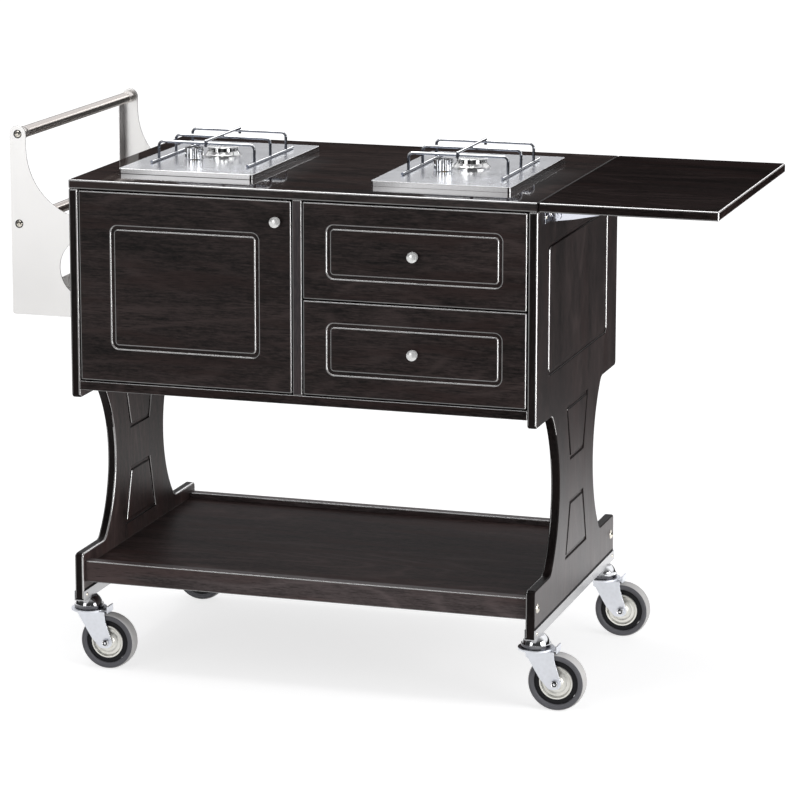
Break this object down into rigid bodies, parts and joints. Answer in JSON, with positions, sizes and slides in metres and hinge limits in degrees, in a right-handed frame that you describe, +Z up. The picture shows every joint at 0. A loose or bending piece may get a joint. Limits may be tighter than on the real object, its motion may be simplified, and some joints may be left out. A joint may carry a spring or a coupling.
{
  "type": "flambe cart",
  "caption": "Serving cart with gas hobs, door and drawers, drop leaf, side bottle rack with push handle, lower shelf and swivel castors.",
  "frame": {"origin": "on the floor, in the middle of the whole cart's length and depth with its leaf up and its knobs counted", "axes": "+X along the cart to the drop leaf, -Y out of the door and drawers, +Z up"},
  "size_m": [1.254, 0.572, 0.967],
  "materials": {
    "wood_upright": "lacquered dark stained veneer, grain upright",
    "wood_top": "glossy lacquered dark stained veneer, grain along the cart",
    "wood_front": "lacquered dark stained veneer, grain along the cart",
    "wood_board": "lacquered dark stained veneer",
    "drawer_ply": "clear lacquered birch",
    "zinc_steel": "bright zinc plated sheet",
    "catch_plastic": "moulded, off-white",
    "chrome": "bright chrome plate",
    "nickel_screw": "nickel plated",
    "stainless": "satin stainless sheet and tube",
    "polished_steel": "polished stainless sheet",
    "burner_steel": "machined, bright",
    "gas_brass": "satin",
    "fork_zinc": "blue-white zinc plated pressing",
    "wheel_core": "black core with plated cover plates",
    "tyre": "grey non-marking rubber"
  },
  "bodies": {
    "cart": {"left_side_panel": "wood_upright", "right_side_panel": "wood_upright", "top_board": "wood_top", "bottom_board": "wood_board", "centre_divider": "wood_upright", "back_panel": "wood_board", "shelf_board": "wood_board", "shelf_front_rail": "wood_board", "shelf_back_rail": "wood_board", "shelf_bolts": "nickel_screw", "foot_channels": "zinc_steel", "channel_screws": "nickel_screw", "door_hinge_arms": "zinc_steel", "door_catch": "catch_plastic", "cabinet_slides": "zinc_steel", "leaf_bracket_plates": "zinc_steel", "rack_front_plate": "stainless", "rack_rear_plate": "stainless", "bottle_tray": "stainless", "push_handle": "stainless", "bottle_rail": "stainless", "rack_screws": "nickel_screw", "left_hob_plate": "polished_steel", "right_hob_plate": "polished_steel", "burner_bodies": "burner_steel", "gas_taps": "gas_brass", "gas_pipe": "gas_brass", "castor_heads": "chrome"},
    "door": {"door_panel": "wood_front", "door_knob": "chrome", "door_hinge_cups": "zinc_steel", "door_strike": "zinc_steel"},
    "upper_drawer": {"upper_drawer_front": "wood_front", "upper_drawer_box": "drawer_ply", "upper_drawer_knob": "chrome", "upper_drawer_slides": "zinc_steel"},
    "lower_drawer": {"lower_drawer_front": "wood_front", "lower_drawer_box": "drawer_ply", "lower_drawer_knob": "chrome", "lower_drawer_slides": "zinc_steel"},
    "leaf": {"drop_leaf": "wood_top", "leaf_bracket_arms": "zinc_steel"},
    "left_cap": {"left_burner_cap": "burner_steel"},
    "right_cap": {"right_burner_cap": "burner_steel"},
    "left_support": {"left_pan_support": "chrome"},
    "right_support": {"right_pan_support": "chrome"},
    "left_tap_knob": {"left_hob_knob": "chrome"},
    "right_tap_knob": {"right_hob_knob": "chrome"},
    "castor_1": {"castor_fork_1": "fork_zinc"},
    "wheel_1": {"castor_wheel_1": "wheel_core", "castor_tyre_1": "tyre"},
    "castor_2": {"castor_fork_2": "fork_zinc"},
    "wheel_2": {"castor_wheel_2": "wheel_core", "castor_tyre_2": "tyre"},
    "castor_3": {"castor_fork_3": "fork_zinc"},
    "wheel_3": {"castor_wheel_3": "wheel_core", "castor_tyre_3": "tyre"},
    "castor_4": {"castor_fork_4": "fork_zinc"},
    "wheel_4": {"castor_wheel_4": "wheel_core", "castor_tyre_4": "tyre"}
  },
  "joints": [
    {"name": "door_hinge", "type": "hinge", "parent": "cart", "child": "door", "pos_m": [-0.4945, -0.272, 0.696], "axis": [0, 0, -1], "range_deg": [0, 110]},
    {"name": "upper_drawer_slide", "type": "slide", "parent": "cart", "child": "upper_drawer", "axis": [0, -1, 0], "range_m": [0, 0.35]},
    {"name": "lower_drawer_slide", "type": "slide", "parent": "cart", "child": "lower_drawer", "axis": [0, -1, 0], "range_m": [0, 0.35]},
    {"name": "leaf_hinge", "type": "hinge", "parent": "cart", "child": "leaf", "pos_m": [0.337, 0.007, 0.85], "axis": [0, 1, 0], "range_deg": [0, 90]},
    {"name": "left_tap_turn", "type": "hinge", "parent": "cart", "child": "left_tap_knob", "pos_m": [-0.37, -0.036, 0.89], "axis": [0, 0, 1], "range_deg": [0, 200]},
    {"name": "left_support_lift", "type": "slide", "parent": "cart", "child": "left_support", "axis": [0, 0, 1], "range_m": [0, 0.06]},
    {"name": "left_cap_lift", "type": "slide", "parent": "cart", "child": "left_cap", "axis": [0, 0, 1], "range_m": [0, 0.008]},
    {"name": "right_tap_turn", "type": "hinge", "parent": "cart", "child": "right_tap_knob", "pos_m": [0.09, -0.036, 0.89], "axis": [0, 0, 1], "range_deg": [0, 200]},
    {"name": "right_support_lift", "type": "slide", "parent": "cart", "child": "right_support", "axis": [0, 0, 1], "range_m": [0, 0.06]},
    {"name": "right_cap_lift", "type": "slide", "parent": "cart", "child": "right_cap", "axis": [0, 0, 1], "range_m": [0, 0.008]},
    {"name": "castor_swivel_1", "type": "hinge", "parent": "cart", "child": "castor_1", "pos_m": [-0.505, -0.228, 0.106], "axis": [0, 0, 1], "continuous": true},
    {"name": "wheel_spin_1", "type": "hinge", "parent": "castor_1", "child": "wheel_1", "pos_m": [-0.467, -0.228, 0.05], "axis": [0, 1, 0], "continuous": true},
    {"name": "castor_swivel_2", "type": "hinge", "parent": "cart", "child": "castor_2", "pos_m": [0.315, -0.228, 0.106], "axis": [0, 0, 1], "continuous": true},
    {"name": "wheel_spin_2", "type": "hinge", "parent": "castor_2", "child": "wheel_2", "pos_m": [0.353, -0.228, 0.05], "axis": [0, 1, 0], "continuous": true},
    {"name": "castor_swivel_3", "type": "hinge", "parent": "cart", "child": "castor_3", "pos_m": [-0.505, 0.242, 0.106], "axis": [0, 0, 1], "continuous": true},
    {"name": "wheel_spin_3", "type": "hinge", "parent": "castor_3", "child": "wheel_3", "pos_m": [-0.467, 0.242, 0.05], "axis": [0, 1, 0], "continuous": true},
    {"name": "castor_swivel_4", "type": "hinge", "parent": "cart", "child": "castor_4", "pos_m": [0.315, 0.242, 0.106], "axis": [0, 0, 1], "continuous": true},
    {"name": "wheel_spin_4", "type": "hinge", "parent": "castor_4", "child": "wheel_4", "pos_m": [0.353, 0.242, 0.05], "axis": [0, 1, 0], "continuous": true}
  ]
}
